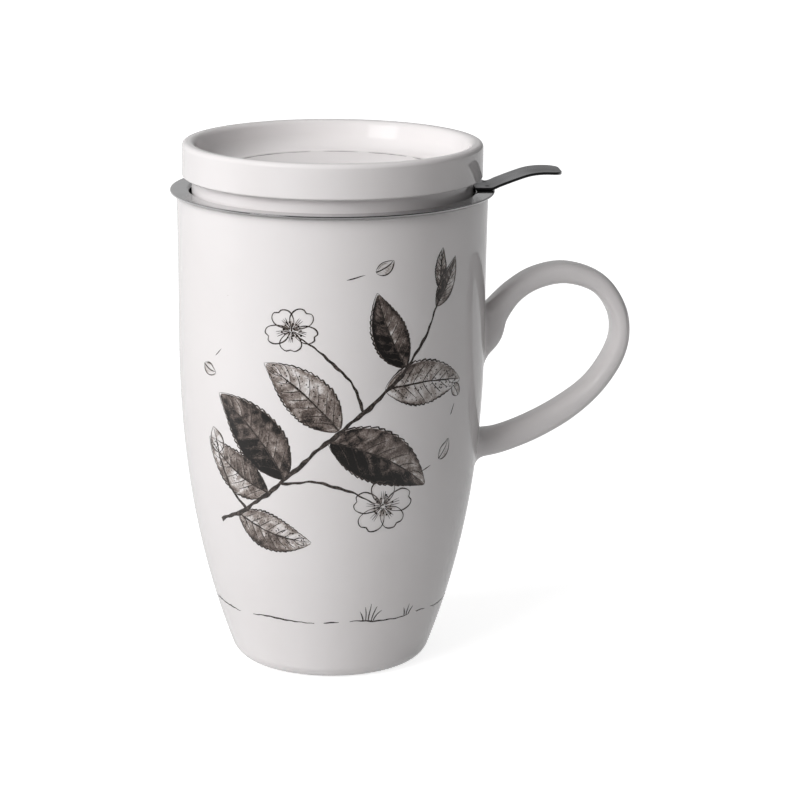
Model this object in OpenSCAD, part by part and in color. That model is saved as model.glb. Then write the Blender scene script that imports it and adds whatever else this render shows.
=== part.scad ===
// Tea mug with a lift-out steel infuser and a porcelain lid that doubles as a
// saucer for the wet infuser. Millimetres, +Z up. The origin is the centre of
// the foot ring on the table, and the handle points along +X.

/* [Mug] */
// Height of the mug from the table to its mouth
mug_h = 136.2; // [120:0.1:150]
// Outside radius where the wall stands upright
mug_r = 43.6; // [40:0.1:47]
// How much wider the mouth is than the upright wall
mouth_flare = 0.4; // [0:0.1:1.5]
// Wall thickness at the mouth
wall_t = 2.7; // [2.2:0.1:3.2]
// Extra wall thickness where the wall meets the floor
wall_gain = 1.2; // [0:0.1:2]
// Thickness of the floor above the foot recess
floor_t = 4; // [3:0.1:6]
// Height at which the wall starts to curve inwards
taper_h = 100; // [80:1:110]
// How far the wall has come in when it reaches the table
taper_in = 16.6; // [12:0.1:18]
// How late the curve turns in, where 2 is a parabola
taper_power = 2.37; // [1.8:0.01:2.8]
// Radius of the rounded corner above the foot
base_round = 6.2; // [4:0.1:8]
// Radius of the hollow between the inner wall and the floor
inner_round = 11; // [7:0.1:14]
// Radius that rounds the lip on both sides
lip_round = 1; // [0.6:0.1:1]
// Width of the foot ring
foot_w = 3.2; // [2.4:0.1:5]
// Depth of the recess inside the foot ring
foot_recess = 1.6; // [1:0.1:2.5]

/* [Handle] */
// How far the handle stands out from the wall
handle_reach = 43.7; // [38:0.1:48]
// Height of the lower joint above the table
handle_low = 61.3; // [54:0.1:68]
// Rise from the lower joint to the crown of the loop
handle_rise = 50; // [44:0.1:54]
// Width of the grip across the loop
grip_w = 11.6; // [9:0.1:14]
// Thickness of the grip at the top of the loop
grip_t = 5.5; // [4.5:0.1:6.5]
// Radius of the fillet above each joint
crotch_round = 1.9; // [1:0.1:2.5]
// Radius of the fillet below each joint
under_round = 3.4; // [2:0.1:5]

/* [Infuser] */
// Thickness of the steel sheet of the rim
sheet_t = 0.6; // [0.5:0.1:0.8]
// Inside radius of the bends in the rim's sheet
bend_round = 0.35; // [0.2:0.05:0.6]
// How far the flange stands out past the mug
flange_over = 1.8; // [1:0.1:3]
// Clearance between the neck and the mug's mouth
neck_gap = 0.4; // [0.3:0.05:0.7]
// Depth of the lid's seat below the flange
seat_depth = 6; // [4:0.1:8]
// Width of the lid's seat
seat_w = 3.6; // [3:0.1:4.5]
// Height of the collar that holds the basket below the seat
skirt_h = 4; // [3:0.1:6]
// Distance from the flange to the bottom of the basket
basket_h = 76; // [60:1:90]
// Thickness of the perforated sheet
mesh_t = 0.5; // [0.4:0.1:0.6]
// Diameter of the holes
hole_d = 2; // [1.4:0.1:2.4]
// Number of holes round the wall
hole_columns = 36; // [24:2:44]
// Number of rows of holes
hole_rows = 10; // [6:1:11]
// Plain band left above and below the holes
plain_band = 7; // [6:0.5:12]
// Height of the upturned edge of the basket's base
base_lip = 4; // [3:0.1:6]
// Distance between the rings of holes in the base
ring_pitch = 5.2; // [4.5:0.1:8]

/* [Infuser strap] */
// Width of the strap
strap_w = 13; // [10:0.1:16]
// Thickness of the strap
strap_t = 0.8; // [0.6:0.1:1]
// Distance from the axis to the strap's tip
strap_reach = 64.5; // [60:0.5:72]
// How far the strap rises over the flange
strap_rise = 4.3; // [3:0.1:8]
// Angle from the handle to the strap, seen from above
strap_angle = -3; // [-25:1:25]
// Radius of the corners of the strap's tip
strap_corner = 3; // [1:0.1:4.5]

/* [Lid] */
// Height of the lid above the flange
lid_h = 13.5; // [12:0.1:16]
// Gap between the lid's ring and the flange
ring_lift = 3.7; // [3:0.1:4.5]
// How far the lid's ring stays inside the mouth's outside radius
ring_inset = 1.6; // [0:0.1:2]
// Clearance between the lid's collar and the neck
collar_gap = 0.6; // [0.3:0.05:0.8]
// Thickness of the collar
collar_t = 3; // [2.4:0.1:3.4]
// Thickness of the ring's crest
crest_w = 4; // [3:0.1:4.6]
// Radius of the crest's outer edge
crest_edge = 1.4; // [0.8:0.1:1.5]
// Depth of the dish in the top of the lid
dish_depth = 8; // [6.5:0.1:8.5]
// Thickness of the dish's floor
dish_t = 3.4; // [2.8:0.1:4]
// Radius of the hollow between the dish's wall and its floor
dish_round = 6; // [4:0.1:6.5]
// Angle at which the dish's wall leans out
dish_lean = 20; // [10:1:30]
// Radius of the ring's lower corner
ring_round = 2.2; // [1.5:0.1:3]

/* [Hidden] */
$fn = 96;
porcelain = [0.96, 0.95, 0.93];
steel = [0.62, 0.62, 0.64];
bright_steel = [0.74, 0.74, 0.76];
weld_gap = 0.05;
cut = 1;
taper_steps = 20;
flare_steps = 5;
arc_steps = 6;

// Radii from the mug's mouth inwards
lip_r = mug_r + mouth_flare;
mouth_r = lip_r - wall_t;
neck_r = mouth_r - neck_gap;
neck_in_r = neck_r - sheet_t;
skirt_r = neck_in_r - seat_w;
skirt_in_r = skirt_r - sheet_t;
mesh_r = skirt_in_r - weld_gap;
mesh_in_r = mesh_r - mesh_t;
base_r = mesh_in_r - weld_gap;
flange_r = lip_r + flange_over;
collar_r = neck_in_r - collar_gap;
collar_in_r = collar_r - collar_t;
ring_r = lip_r - ring_inset;

// Heights
flange_z = mug_h + sheet_t;
seat_z = flange_z - seat_depth;
basket_z = flange_z - basket_h;
skirt_z = seat_z - sheet_t - skirt_h;
lid_z = flange_z + lid_h;
ring_z = flange_z + ring_lift;
dish_z = lid_z - dish_depth;

// Points of an arc about [x, y], with both of its ends
function arc(x, y, r, from, to, steps = arc_steps) =
    [for (i = [0:steps]) let (a = from + (to - from) * i / steps) [x + r * cos(a), y + r * sin(a)]];

// The outer wall: flaring a little above taper_h and curving in below it
function below(z) = max(0, taper_h - z) / taper_h;
function above(z) = max(0, z - taper_h) / (mug_h - taper_h);
function outer_r(z) = mug_r + mouth_flare * pow(above(z), 2) - taper_in * pow(below(z), taper_power);
function inner_r(z) = outer_r(z) - wall_t - wall_gain * below(z);

// The wall leans out by this angle just above the foot
lean = atan((outer_r(base_round) - outer_r(0)) / base_round);
corner_z = base_round * (1 - sin(lean));
foot_r = outer_r(corner_z) - base_round * cos(lean);
bowl_z = foot_recess + floor_t;
bowl_top = bowl_z + inner_round;

// Heights of the points of a wall that starts at z = low
function wall_heights(low) = concat(
    [for (i = [0:taper_steps]) low + (taper_h - low) * i / taper_steps],
    [for (i = [1:flare_steps - 1]) taper_h + (mug_h - lip_round - taper_h) * i / flare_steps]
);

module mug_solid() {
    wall = [for (z = wall_heights(corner_z)) if (z > corner_z) [outer_r(z), z]];
    polygon(concat(
        [[0, 0]],
        arc(foot_r, base_round, base_round, -90, -lean),
        wall,
        arc(lip_r - lip_round, mug_h - lip_round, lip_round, 0, 90),
        [[0, mug_h]]
    ));
}

module mug_cavity() {
    wall = [for (z = wall_heights(bowl_top)) if (z > bowl_top) [inner_r(z), z]];
    polygon(concat(
        [[0, bowl_z]],
        arc(inner_r(bowl_top) - inner_round, bowl_top, inner_round, -90, 0, 2 * arc_steps),
        wall,
        arc(mouth_r + lip_round, mug_h - lip_round, lip_round, 180, 90),
        [[mouth_r + lip_round, mug_h + cut], [0, mug_h + cut]]
    ));
}

module mug_body() {
    recess_r = foot_r - foot_w;
    color(porcelain)
    rotate_extrude() difference() {
        mug_solid();
        mug_cavity();
        polygon([[0, -cut], [recess_r, -cut], [recess_r, 0], [recess_r - foot_recess, foot_recess], [0, foot_recess]]);
    }
}

// The handle's spine as shares of its reach and rise, with the thickness and
// the width there as shares of the grip's. It starts in the wall above the
// lower edge of the upper joint and ends in the wall at the lower joint.
spine = [
    [-0.118, 0.534, 1.54, 1.30],
    [0.003, 0.663, 1.89, 1.22],
    [0.086, 0.783, 1.33, 1.08],
    [0.203, 0.898, 1.05, 1.03],
    [0.355, 0.975, 1.07, 1.00],
    [0.550, 1.000, 1.09, 1.00],
    [0.759, 0.936, 1.06, 1.00],
    [0.883, 0.796, 0.98, 1.00],
    [0.915, 0.644, 0.94, 1.00],
    [0.867, 0.495, 1.02, 1.00],
    [0.739, 0.333, 1.06, 1.00],
    [0.560, 0.204, 1.22, 1.00],
    [0.349, 0.101, 1.29, 1.00],
    [0.141, 0.031, 1.30, 1.05],
    [0.003, 0.009, 1.35, 1.20],
    [-0.125, 0.003, 1.40, 1.30]
];
loop_rings = 60;
fillet_steps = 5;
section_sides = 28;
section_power = 0.72;
root_depth = 0.25;
cap_depth = 2;

function blend(a, b, c, d, t) =
    0.5 * (2 * b + (c - a) * t + (2 * a - 5 * b + 4 * c - d) * t * t + (3 * b - a - 3 * c + d) * t * t * t);
function spine_row(i) = spine[min(max(i, 0), len(spine) - 1)];
function spine_at(s) =
    let (i = min(floor(s), len(spine) - 2),
         row = blend(spine_row(i - 1), spine_row(i), spine_row(i + 1), spine_row(i + 2), s - i))
    [mug_r + handle_reach * row[0], handle_low + handle_rise * row[1], grip_t / 2 * row[2], grip_w / 2 * row[3]];
function swell(v) = sign(v) * pow(abs(v), section_power);

// Point k of the section that stands square to the spine at row s
function handle_point(s, k) =
    let (here = spine_at(s), ahead = spine_at(s + 0.01), behind = spine_at(s - 0.01),
         run = [ahead[0] - behind[0], ahead[1] - behind[1]], along = run / norm(run),
         a = 360 * k / section_sides, off = here[2] * swell(cos(a)))
    [here[0] - along[1] * off, here[3] * swell(sin(a)), here[1] + along[0] * off];

// Row at which line k comes out of the wall, between a row inside it and one outside
function leaves_wall(k, inside, outside, tries = 20) =
    let (middle = (inside + outside) / 2, p = handle_point(middle, k))
    tries == 0 ? middle
    : norm([p[0], p[1]]) < outer_r(p[2]) ? leaves_wall(k, middle, outside, tries - 1)
    : leaves_wall(k, inside, middle, tries - 1);

// The fillet round one joint: for each line the row where it meets the loop,
// and its points from just inside the wall up to there
function joint(inside, outside) =
    let (n = section_sides, side = sign(outside - inside),
         rows = [for (k = [0:n - 1]) leaves_wall(k, inside, outside)],
         exits = [for (k = [0:n - 1]) handle_point(rows[k], k)],
         flat = [for (p = exits) [mug_r * atan2(p[1], p[0]) * PI / 180, p[2]]],
         middle = [for (p = flat) 1] * flat / n)
    [for (k = [0:n - 1])
        let (run = flat[(k + 1) % n] - flat[(k + n - 1) % n],
             square = [run[1], -run[0]] / norm(run),
             away = square * (flat[k] - middle) < 0 ? -square : square,
             size = under_round + (crotch_round - under_round) * (1 + away[1]) / 2,
             foot = flat[k] + away * size,
             toe_a = foot[0] / mug_r * 180 / PI,
             toe_r = outer_r(foot[1]) - root_depth,
             toe = [toe_r * cos(toe_a), toe_r * sin(toe_a), foot[1]],
             speed = norm(handle_point(rows[k] + side, k) - exits[k]),
             row = rows[k] + side * size / speed,
             top = handle_point(row, k))
        [row, [for (i = [0:fillet_steps - 1]) let (t = i / fillet_steps)
            toe * pow(1 - t, 2) + exits[k] * 2 * t * (1 - t) + top * pow(t, 2)]]];

module handle_loop() {
    n = section_sides;
    end = len(spine) - 1;
    upper = joint(0.01, 3);
    lower = joint(end - 0.01, end - 3);
    fillet = fillet_steps - 1;
    rings = concat(
        [for (i = [0:fillet]) [for (k = [0:n - 1]) upper[k][1][i]]],
        [for (i = [0:loop_rings]) [for (k = [0:n - 1])
            handle_point(upper[k][0] + (lower[k][0] - upper[k][0]) * i / loop_rings, k)]],
        [for (i = [fillet:-1:0]) [for (k = [0:n - 1]) lower[k][1][i]]]
    );
    last = len(rings) - 1;
    // The two caps are fans round points deep in the wall
    caps = [for (i = [0, last]) [for (p = rings[i]) 1] * rings[i] / n - [cap_depth, 0, 0]];
    hub = (last + 1) * n;
    sides = [for (i = [0:last - 1], k = [0:n - 1]) let (a = i * n, m = (k + 1) % n)
        [a + k, a + m, a + n + m, a + n + k]];
    start_fan = [for (k = [0:n - 1]) [(k + 1) % n, k, hub]];
    end_fan = [for (k = [0:n - 1]) [last * n + k, last * n + (k + 1) % n, hub + 1]];
    points = concat([for (r = rings) each r], caps);
    polyhedron(points = points, faces = concat(sides, start_fan, end_fan), convexity = 4);
}

module mug_handle() {
    color(porcelain)
    difference() {
        handle_loop();
        rotate_extrude($fn = 240) mug_solid();
    }
}

module infuser_rim() {
    outside = bend_round + sheet_t;
    color(bright_steel)
    rotate_extrude() polygon(concat(
        [[flange_r, mug_h], [flange_r, flange_z]],
        arc(neck_in_r + outside, flange_z - outside, outside, 90, 180),
        arc(neck_in_r - bend_round, seat_z + bend_round, bend_round, 0, -90),
        arc(skirt_in_r + outside, seat_z - outside, outside, 90, 180),
        [[skirt_in_r, skirt_z], [skirt_r, skirt_z]],
        arc(skirt_r + bend_round, seat_z - outside, bend_round, 180, 90),
        arc(neck_r - outside, seat_z + bend_round, outside, -90, 0),
        arc(neck_r + bend_round, mug_h - bend_round, bend_round, 180, 90)
    ));
}

module infuser_wall() {
    first_z = basket_z + base_lip + plain_band;
    last_z = skirt_z - plain_band;
    row_pitch = (last_z - first_z) / (hole_rows - 1);
    color(steel)
    difference() {
        translate([0, 0, basket_z]) cylinder(r = mesh_r, h = seat_z - sheet_t - basket_z);
        translate([0, 0, basket_z - cut]) cylinder(r = mesh_in_r, h = basket_h);
        for (row = [0:hole_rows - 1], column = [0:hole_columns - 1])
            rotate([0, 0, (column + row % 2 / 2) * 360 / hole_columns])
                translate([mesh_in_r - cut, 0, first_z + row * row_pitch])
                    rotate([0, 90, 0]) cylinder(d = hole_d, h = mesh_t + 2 * cut, $fn = 24);
    }
}

module infuser_base() {
    rings = floor((base_r - ring_pitch) / ring_pitch);
    color(steel)
    difference() {
        translate([0, 0, basket_z]) cylinder(r = base_r, h = base_lip);
        translate([0, 0, basket_z + mesh_t]) cylinder(r = base_r - mesh_t, h = base_lip);
        translate([0, 0, basket_z - cut]) cylinder(d = hole_d, h = mesh_t + 2 * cut, $fn = 24);
        for (ring = [1:rings], i = [0:6 * ring - 1])
            rotate([0, 0, i * 60 / ring])
                translate([ring * ring_pitch, 0, basket_z - cut])
                    cylinder(d = hole_d, h = mesh_t + 2 * cut, $fn = 24);
    }
}

// The strap's underside as shares of its length and rise
strap_line = [[0, 0], [0.183, 0], [0.304, 0.26], [0.459, 0.59], [0.613, 0.88], [0.739, 0.99], [0.865, 1.00], [1, 0.95]];
strap_steps = 3;
// The strap starts where its corners reach the edge of the neck's opening
strap_root = sqrt(pow(neck_in_r, 2) - pow(strap_w / 2, 2));
strap_len = strap_reach - strap_root;

function strap_row(i) = strap_line[min(max(i, 0), len(strap_line) - 1)];
function strap_at(s) =
    let (i = min(floor(s), len(strap_line) - 2),
         row = blend(strap_row(i - 1), strap_row(i), strap_row(i + 1), strap_row(i + 2), s - i))
    [strap_root + strap_len * row[0], flange_z + strap_rise * row[1]];

module strap_outline() {
    difference() {
        union() {
            translate([strap_root, -strap_w / 2]) square([strap_len - strap_corner, strap_w]);
            translate([strap_root, strap_corner - strap_w / 2]) square([strap_len, strap_w - 2 * strap_corner]);
            for (side = [-1, 1])
                translate([strap_reach - strap_corner, side * (strap_w / 2 - strap_corner)])
                    circle(r = strap_corner, $fn = 48);
        }
        circle(r = neck_in_r);
    }
}

module infuser_strap() {
    last = (len(strap_line) - 1) * strap_steps;
    under = [for (i = [0:last]) let (p = strap_at(i / strap_steps)) i <= strap_steps ? [p[0], flange_z] : p];
    over = [for (i = [last:-1:0]) under[i] + [0, strap_t]];
    color(steel)
    rotate([0, 0, strap_angle])
    intersection() {
        rotate([90, 0, 0]) translate([0, 0, -strap_w / 2]) linear_extrude(strap_w) polygon(concat(under, over));
        translate([0, 0, flange_z - cut]) linear_extrude(strap_rise + strap_t + 2 * cut) strap_outline();
    }
}

module lid() {
    collar_edge = 0.6;
    collar_root = 0.8;
    hollow_round = 1.6;
    hollow_z = dish_z - dish_t;
    crest_round = crest_w / 2;
    crest = [ring_r - crest_round, lid_z - crest_round];
    // The dish's wall runs along "down" from the crest's arc to the hollow's arc
    inward = [-cos(dish_lean), sin(dish_lean)];
    down = [-sin(dish_lean), -cos(dish_lean)];
    wall_top = crest + crest_round * inward;
    wall_len = (wall_top[1] + dish_round * inward[1] - dish_z - dish_round) / cos(dish_lean);
    hollow = wall_top + dish_round * inward + wall_len * down;
    color(porcelain)
    rotate_extrude() polygon(concat(
        [[0, hollow_z]],
        arc(collar_in_r - hollow_round, hollow_z - hollow_round, hollow_round, 90, 0),
        arc(collar_in_r + collar_edge, seat_z + collar_edge, collar_edge, 180, 270),
        arc(collar_r - collar_edge, seat_z + collar_edge, collar_edge, 270, 360),
        arc(collar_r + collar_root, ring_z - collar_root, collar_root, 180, 90),
        arc(ring_r - ring_round, ring_z + ring_round, ring_round, -90, 0),
        arc(ring_r - crest_edge, lid_z - crest_edge, crest_edge, 0, 90),
        arc(crest[0], crest[1], crest_round, 90, 180 - dish_lean),
        arc(hollow[0], hollow[1], dish_round, -dish_lean, -90, 2 * arc_steps),
        [[0, dish_z]]
    ));
}

mug_body();
mug_handle();
infuser_rim();
infuser_wall();
infuser_base();
infuser_strap();
lid();
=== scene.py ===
"""Looks of a porcelain tea mug with a steel infuser and a dished lid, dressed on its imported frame.

Lengths are millimetres until a mesh is made. The row's frame has +Z up and the handle along +X.
"""
import random
from math import atan, atan2, copysign, cos, degrees, exp, hypot, pi, radians, sin, sqrt, tau

import bmesh
import bpy
from mathutils import Matrix, Vector


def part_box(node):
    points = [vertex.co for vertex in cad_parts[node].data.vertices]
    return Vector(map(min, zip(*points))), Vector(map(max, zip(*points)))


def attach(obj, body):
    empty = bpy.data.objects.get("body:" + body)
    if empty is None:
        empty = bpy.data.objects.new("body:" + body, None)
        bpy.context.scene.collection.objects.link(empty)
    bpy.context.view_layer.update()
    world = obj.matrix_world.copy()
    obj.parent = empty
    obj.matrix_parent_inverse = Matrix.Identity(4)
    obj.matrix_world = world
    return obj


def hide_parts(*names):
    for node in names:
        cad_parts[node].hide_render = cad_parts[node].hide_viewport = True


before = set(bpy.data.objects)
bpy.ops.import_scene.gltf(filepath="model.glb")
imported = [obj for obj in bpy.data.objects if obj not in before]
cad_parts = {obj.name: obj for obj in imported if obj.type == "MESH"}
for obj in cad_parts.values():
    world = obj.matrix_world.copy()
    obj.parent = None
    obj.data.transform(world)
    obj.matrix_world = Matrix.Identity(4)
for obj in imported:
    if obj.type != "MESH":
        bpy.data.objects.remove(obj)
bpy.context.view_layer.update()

MM = 0.001
random.seed(11)
uniform = random.uniform


# ---- sizes

def span(node):
    """Lowest and highest corner of a CAD node, in millimetres."""
    low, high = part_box(node)
    return low / MM, high / MM


_, body_high = span("mug_body")
rim_low, rim_high = span("infuser_rim")
mesh_low, mesh_high = span("infuser_wall")
base_low, base_high = span("infuser_base")
lid_low, lid_high = span("lid")

# The mug's wall
MOUTH_FLARE = 0.4
WALL_T = 2.7
WALL_GAIN = 1.2
FLOOR_T = 4.0
TAPER_H = 100.0
TAPER_IN = 16.6
TAPER_POWER = 2.37
BASE_ROUND = 6.2
INNER_ROUND = 11.0
LIP_ROUND = 1.0
WALL_STEP = 2.5
FOOT_W = 3.2
FOOT_RECESS = 1.6
mug_h = body_high.z
lip_r = body_high.x
mug_r = lip_r - MOUTH_FLARE
mouth_r = lip_r - WALL_T


def below(z):
    return max(0.0, TAPER_H - z) / TAPER_H


def above(z):
    return max(0.0, z - TAPER_H) / (mug_h - TAPER_H)


def outer_r(z):
    """Outside radius of the mug at height z."""
    return mug_r + MOUTH_FLARE * above(z) ** 2 - TAPER_IN * below(z) ** TAPER_POWER


def inner_r(z):
    return outer_r(z) - WALL_T - WALL_GAIN * below(z)


lean = atan((outer_r(BASE_ROUND) - outer_r(0)) / BASE_ROUND)
corner_z = BASE_ROUND * (1 - sin(lean))
foot_r = outer_r(corner_z) - BASE_ROUND * cos(lean)

# The camera and the middle of the decoration stand this far round from -Y towards -X
TURN = radians(7)


# ---- mesh helpers

LATHE_SIDES = 240


def arc(x, z, r, start, end, steps=8):
    """Points of an arc about (x, z), in degrees, with both of its ends."""
    angles = [radians(start + (end - start) * i / steps) for i in range(steps + 1)]
    return [(x + r * cos(a), z + r * sin(a)) for a in angles]


def mix(a, b, t):
    return a + (b - a) * t


def smooth(t):
    t = min(1.0, max(0.0, t))
    return t * t * (3 - 2 * t)


def evenly(count, low=0.0, high=1.0):
    """count + 1 numbers in equal steps from low to high."""
    return [mix(low, high, i / count) for i in range(count + 1)]


def on_axis(angle, r, z):
    return (r * cos(angle), r * sin(angle), z)


def new_object(name, data):
    obj = bpy.data.objects.new(name, data)
    bpy.context.scene.collection.objects.link(obj)
    return obj


def piece(name, points, faces, body, material, weighted=False):
    """A closed mesh from points in millimetres, riding on a CAD body."""
    mesh = bpy.data.meshes.new(name)
    mesh.from_pydata([Vector(p) * MM for p in points], [], faces)
    bm = bmesh.new()
    bm.from_mesh(mesh)
    bmesh.ops.recalc_face_normals(bm, faces=bm.faces)
    bm.to_mesh(mesh)
    bm.free()
    mesh.polygons.foreach_set("use_smooth", [True] * len(mesh.polygons))
    mesh.materials.append(material)
    obj = new_object(name, mesh)
    if weighted:
        obj.modifiers.new("weighted_normals", "WEIGHTED_NORMAL").keep_sharp = True
    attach(obj, body)
    return obj


def band(a, b):
    """Faces between two rings of indices, either of which may be a single point."""
    n = max(len(a), len(b))
    faces = []
    for i in range(n):
        j = (i + 1) % n
        if len(a) == 1:
            faces.append((a[0], b[j], b[i]))
        elif len(b) == 1:
            faces.append((a[i], a[j], b[0]))
        else:
            faces.append((a[i], a[j], b[j], b[i]))
    return faces


def bands(rings):
    """Faces that join every ring to the next."""
    return [face for a, b in zip(rings, rings[1:]) for face in band(a, b)]


def next_ring(points, count):
    """Indices of the next count points."""
    return range(len(points), len(points) + count)


def revolve(name, profile, body, material, closed=False):
    """A profile of (radius, height) turned about the axis."""
    points, rings = [], []
    for r, z in profile:
        count = 1 if r < 1e-6 else LATHE_SIDES
        rings.append(next_ring(points, count))
        points += [on_axis(tau * i / LATHE_SIDES, r, z) for i in range(count)]
    faces = bands(rings + rings[:1] if closed else rings)
    return piece(name, points, faces, body, material, weighted=True)


# ---- material helpers

class Tree:
    """Short calls that add shader nodes to a node tree."""

    def __init__(self, owner):
        owner.use_nodes = True
        self.tree = owner.node_tree

    def add(self, kind, settings=None, **inputs):
        node = self.tree.nodes.new("ShaderNode" + kind)
        for key, value in (settings or {}).items():
            setattr(node, key, value)
        for key, value in inputs.items():
            self.feed(node.inputs[key.replace("_", " ")], value)
        return node

    def feed(self, socket, value):
        if isinstance(value, bpy.types.NodeSocket):
            self.tree.links.new(value, socket)
        else:
            socket.default_value = value

    def math(self, operation, a, b=0.0, clamp=False):
        node = self.add("Math", {"operation": operation, "use_clamp": clamp})
        self.feed(node.inputs[0], a)
        self.feed(node.inputs[1], b)
        return node.outputs[0]

    def range(self, value, low, high, to_low=0.0, to_high=1.0):
        """value from low..high, mapped smoothly to to_low..to_high."""
        node = self.add("MapRange", {"interpolation_type": "SMOOTHSTEP"}, Value=value,
                        From_Min=low, From_Max=high, To_Min=to_low, To_Max=to_high)
        return node.outputs["Result"]

    def times(self, a, b):
        return self.math("MULTIPLY", a, b)

    def plus(self, a, b, clamp=False):
        return self.math("ADD", a, b, clamp)

    def choose(self, switch, a, b):
        """a where switch is 0 and b where it is 1."""
        return self.add("Mix", Factor=switch, A=a, B=b).outputs[0]

    def parts(self, vector):
        return self.add("SeparateXYZ", Vector=vector).outputs

    def axis_distance(self, x, y):
        return self.math("SQRT", self.plus(self.math("POWER", x, 2.0), self.math("POWER", y, 2.0)))

    def thrown(self):
        """1 for rays whose path has left a dull surface."""
        return self.math("GREATER_THAN", self.add("LightPath").outputs["Diffuse Depth"], 0.5)

    def seen(self):
        """1 for rays that see a background itself: the camera's, mirrored and refracted ones."""
        path = self.add("LightPath").outputs
        shown = self.math("MAXIMUM", path["Is Glossy Ray"], path["Is Transmission Ray"])
        return self.math("MAXIMUM", path["Is Camera Ray"], shown)


class Nodes(Tree):
    """A material with a Principled shader."""

    def __init__(self, name, **sockets):
        self.material = bpy.data.materials.new(name)
        super().__init__(self.material)
        self.shader = self.tree.nodes["Principled BSDF"]
        for key, value in sockets.items():
            self.set(key.replace("_", " "), value)
        self.place = self.add("TexCoord").outputs["Object"]

    def noise(self, per_mm, detail=2.0, vector=None, **inputs):
        """Noise from 0 to 1, with per_mm lumps to the millimetre."""
        vector = self.place if vector is None else vector
        node = self.add("TexNoise", Vector=vector, Scale=per_mm / MM, Detail=detail, **inputs)
        return node.outputs["Fac"]

    def blend(self, factor, a, b):
        """A colour between a and b."""
        node = self.add("Mix", {"data_type": "RGBA"})
        self.feed(node.inputs[0], factor)
        for socket, value in ((node.inputs[6], a), (node.inputs[7], b)):
            self.feed(socket, value if isinstance(value, bpy.types.NodeSocket) else (*value, 1.0))
        return node.outputs[2]

    def bump(self, height, distance_mm, normal=None):
        node = self.add("Bump", Height=height, Distance=distance_mm * MM)
        if normal is not None:
            self.feed(node.inputs["Normal"], normal)
        return node.outputs["Normal"]

    def set(self, key, value):
        self.feed(self.shader.inputs[key], value)


# ---- materials

PORCELAIN = (0.876, 0.845, 0.845)
PORCELAIN_DEEP = (0.858, 0.825, 0.822)
GLAZE_SPECK = (0.30, 0.22, 0.16)
BISQUE = (0.74, 0.71, 0.66)
BISQUE_DEEP = (0.64, 0.60, 0.54)
INK_DARK = (0.012, 0.010, 0.009)
INK_SOFT = (0.045, 0.037, 0.033)
WASH_MID = (0.165, 0.130, 0.115)
WASH_PALE = (0.46, 0.405, 0.375)


def porcelain_colour(nodes):
    """Glazed white, with the faint clouding that a thick glaze has."""
    cloud = nodes.noise(0.035, detail=3.0)
    return nodes.blend(nodes.range(cloud, 0.35, 0.7), PORCELAIN, PORCELAIN_DEEP)


def glaze_surface(nodes):
    """Bump of the glaze: a slow waviness and an orange peel."""
    slow = nodes.bump(nodes.noise(0.045, detail=1.0), 0.16)
    return nodes.bump(nodes.noise(0.55), 0.006, normal=slow)


def glaze(name, bare_below):
    """White glaze, with the bare body showing below a height in millimetres."""
    nodes = Nodes(name, Roughness=0.1, IOR=1.5, Specular_IOR_Level=0.5)
    edge = nodes.plus(nodes.parts(nodes.place)["Z"], nodes.times(nodes.noise(0.3), 0.3 * MM))
    bare = nodes.range(edge, bare_below * MM, (bare_below + 0.25) * MM, 1.0, 0.0)
    cells = nodes.add("TexVoronoi", {"feature": "F1"}, Vector=nodes.place, Scale=0.16 / MM).outputs
    near = nodes.math("LESS_THAN", cells["Distance"], 0.028)
    lot = nodes.add("SeparateColor", Color=cells["Color"]).outputs[0]
    speck = nodes.times(nodes.times(near, nodes.math("GREATER_THAN", lot, 0.8)), 0.55)
    white = nodes.blend(speck, porcelain_colour(nodes), GLAZE_SPECK)
    grain = nodes.noise(2.2, detail=4.0)
    clay = nodes.blend(grain, BISQUE, BISQUE_DEEP)
    nodes.set("Base Color", nodes.blend(bare, white, clay))
    gloss = nodes.range(nodes.noise(0.12), 0.3, 0.75, 0.035, 0.065)
    nodes.set("Roughness", nodes.plus(gloss, nodes.times(bare, 0.6), clamp=True))
    nodes.set("Normal", nodes.bump(nodes.times(grain, bare), 0.05, normal=glaze_surface(nodes)))
    return nodes.material


def ink_line(name):
    """Ink drawn under the glaze: nearly black, thinner and browner where the nib ran dry."""
    nodes = Nodes(name, Roughness=0.06, IOR=1.5)
    dry = nodes.range(nodes.noise(1.3, detail=5.0, Roughness=0.7), 0.42, 0.72)
    flow = nodes.blend(nodes.noise(0.2), INK_DARK, INK_SOFT)
    nodes.set("Base Color", nodes.blend(nodes.times(dry, 0.75), flow, WASH_MID))
    nodes.set("Normal", glaze_surface(nodes))
    return nodes.material


def ink_wash(name):
    """Brushed wash: the mesh's "ink" says how much pigment lies there, and noise settles it."""
    nodes = Nodes(name, Roughness=0.05, IOR=1.5)
    ink = nodes.add("Attribute", {"attribute_name": "ink"}).outputs["Fac"]
    pools = nodes.noise(0.22, detail=5.0, Roughness=0.62, Distortion=0.7)
    pools = nodes.range(pools, 0.22, 0.80, -0.5, 0.5)
    grains = nodes.range(nodes.noise(2.6, detail=4.0, Roughness=0.65), 0.2, 0.8, -0.5, 0.5)
    settle = nodes.plus(nodes.times(pools, 0.62), nodes.times(grains, 0.30))
    settle = nodes.times(settle, nodes.range(ink, 0.02, 0.4, 0.0, 1.0))
    amount = nodes.plus(ink, settle, clamp=True)
    colour = porcelain_colour(nodes)
    for low, high, tint in ((0.04, 0.38, WASH_PALE), (0.22, 0.62, WASH_MID), (0.50, 0.92, INK_DARK)):
        colour = nodes.blend(nodes.range(amount, low, high), colour, tint)
    nodes.set("Base Color", colour)
    nodes.set("Normal", glaze_surface(nodes))
    return nodes.material


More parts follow.
